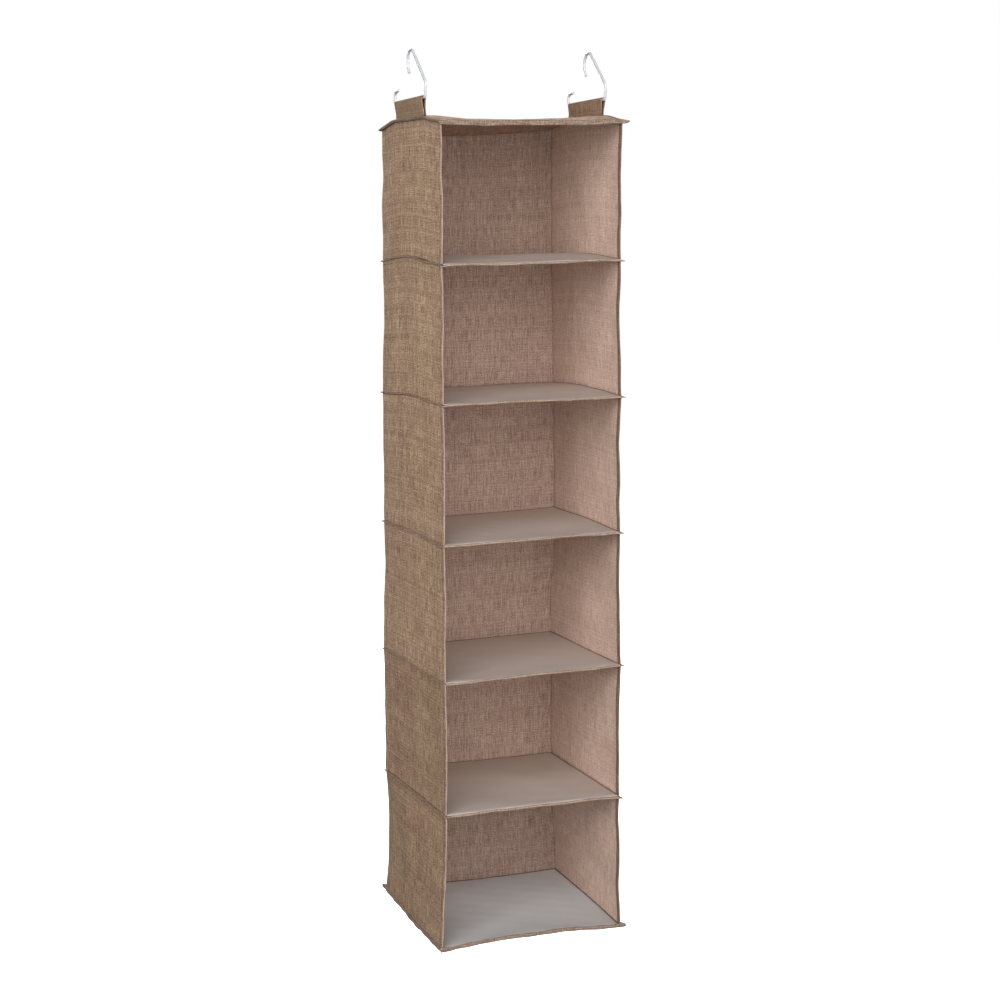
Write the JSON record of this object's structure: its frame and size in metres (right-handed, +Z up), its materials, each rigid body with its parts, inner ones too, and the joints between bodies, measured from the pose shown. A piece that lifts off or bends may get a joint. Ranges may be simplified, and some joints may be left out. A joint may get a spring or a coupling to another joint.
{
  "type": "hanging shoe organizer",
  "caption": "Tall hanging closet organizer of open cloth cells with stiff shelves, on two wire hooks that hang from a closet rod.",
  "frame": {"origin": "on the closet rod's axis, midway between the two hooks' seats", "axes": "+X to the right along the closet rod, +Y from the open front to the back, +Z up"},
  "size_m": [0.315, 0.315, 1.4153],
  "materials": {
    "linen": "heathered linen weave",
    "shelf_liner": "smooth matte nonwoven",
    "binding": "folded tape with stitches",
    "board": "raw",
    "coated_wire": "white plastic coat"
  },
  "bodies": {
    "top": {"top_board": "board", "top_cover": "linen", "top_lining": "linen", "top_binding": "binding", "cell_1_left_wall": "linen", "cell_1_right_wall": "linen", "cell_1_back_wall": "linen", "cell_1_front_tapes": "binding"},
    "shelf_1": {"shelf_1_board": "board", "shelf_1_liner": "shelf_liner", "shelf_1_undercloth": "linen", "shelf_1_binding": "binding", "cell_2_left_wall": "linen", "cell_2_right_wall": "linen", "cell_2_back_wall": "linen", "cell_2_front_tapes": "binding"},
    "shelf_2": {"shelf_2_board": "board", "shelf_2_liner": "shelf_liner", "shelf_2_undercloth": "linen", "shelf_2_binding": "binding", "cell_3_left_wall": "linen", "cell_3_right_wall": "linen", "cell_3_back_wall": "linen", "cell_3_front_tapes": "binding"},
    "shelf_3": {"shelf_3_board": "board", "shelf_3_liner": "shelf_liner", "shelf_3_undercloth": "linen", "shelf_3_binding": "binding", "cell_4_left_wall": "linen", "cell_4_right_wall": "linen", "cell_4_back_wall": "linen", "cell_4_front_tapes": "binding"},
    "shelf_4": {"shelf_4_board": "board", "shelf_4_liner": "shelf_liner", "shelf_4_undercloth": "linen", "shelf_4_binding": "binding", "cell_5_left_wall": "linen", "cell_5_right_wall": "linen", "cell_5_back_wall": "linen", "cell_5_front_tapes": "binding"},
    "shelf_5": {"shelf_5_board": "board", "shelf_5_liner": "shelf_liner", "shelf_5_undercloth": "linen", "shelf_5_binding": "binding", "cell_6_left_wall": "linen", "cell_6_right_wall": "linen", "cell_6_back_wall": "linen", "cell_6_front_tapes": "binding"},
    "floor": {"floor_board": "board", "floor_liner": "shelf_liner", "floor_undercloth": "linen", "floor_binding": "binding"},
    "left_loop": {"left_loop": "linen"},
    "left_hook": {"left_hook": "coated_wire"},
    "right_loop": {"right_loop": "linen"},
    "right_hook": {"right_hook": "coated_wire"}
  },
  "joints": [
    {"name": "shelf_1_rise", "type": "slide", "parent": "top", "child": "shelf_1", "axis": [0, 0, 1], "range_m": [0, 0.19], "deforming": ["cell_1_left_wall", "cell_1_right_wall", "cell_1_back_wall", "cell_1_front_tapes"]},
    {"name": "shelf_2_rise", "type": "slide", "parent": "shelf_1", "child": "shelf_2", "axis": [0, 0, 1], "range_m": [0, 0.19], "deforming": ["cell_2_left_wall", "cell_2_right_wall", "cell_2_back_wall", "cell_2_front_tapes"]},
    {"name": "shelf_3_rise", "type": "slide", "parent": "shelf_2", "child": "shelf_3", "axis": [0, 0, 1], "range_m": [0, 0.19], "deforming": ["cell_3_left_wall", "cell_3_right_wall", "cell_3_back_wall", "cell_3_front_tapes"]},
    {"name": "shelf_4_rise", "type": "slide", "parent": "shelf_3", "child": "shelf_4", "axis": [0, 0, 1], "range_m": [0, 0.19], "deforming": ["cell_4_left_wall", "cell_4_right_wall", "cell_4_back_wall", "cell_4_front_tapes"]},
    {"name": "shelf_5_rise", "type": "slide", "parent": "shelf_4", "child": "shelf_5", "axis": [0, 0, 1], "range_m": [0, 0.19], "deforming": ["cell_5_left_wall", "cell_5_right_wall", "cell_5_back_wall", "cell_5_front_tapes"]},
    {"name": "floor_rise", "type": "slide", "parent": "shelf_5", "child": "floor", "axis": [0, 0, 1], "range_m": [0, 0.19], "deforming": ["cell_6_left_wall", "cell_6_right_wall", "cell_6_back_wall", "cell_6_front_tapes"]},
    {"name": "left_loop_fold", "type": "hinge", "parent": "top", "child": "left_loop", "pos_m": [-0.15, 0.0115, -0.0838], "axis": [0, 1, 0], "range_deg": [-45, 45]},
    {"name": "left_hook_turn", "type": "hinge", "parent": "left_loop", "child": "left_hook", "pos_m": [-0.15, 0.0115, -0.0615], "axis": [0, 0.9995, -0.0314], "range_deg": [-55, 55]},
    {"name": "right_loop_fold", "type": "hinge", "parent": "top", "child": "right_loop", "pos_m": [0.15, 0.0115, -0.0838], "axis": [0, -1, 0], "range_deg": [-45, 45]},
    {"name": "right_hook_turn", "type": "hinge", "parent": "right_loop", "child": "right_hook", "pos_m": [0.15, 0.0115, -0.0615], "axis": [0, -0.9995, 0.0314], "range_deg": [-55, 55]}
  ]
}
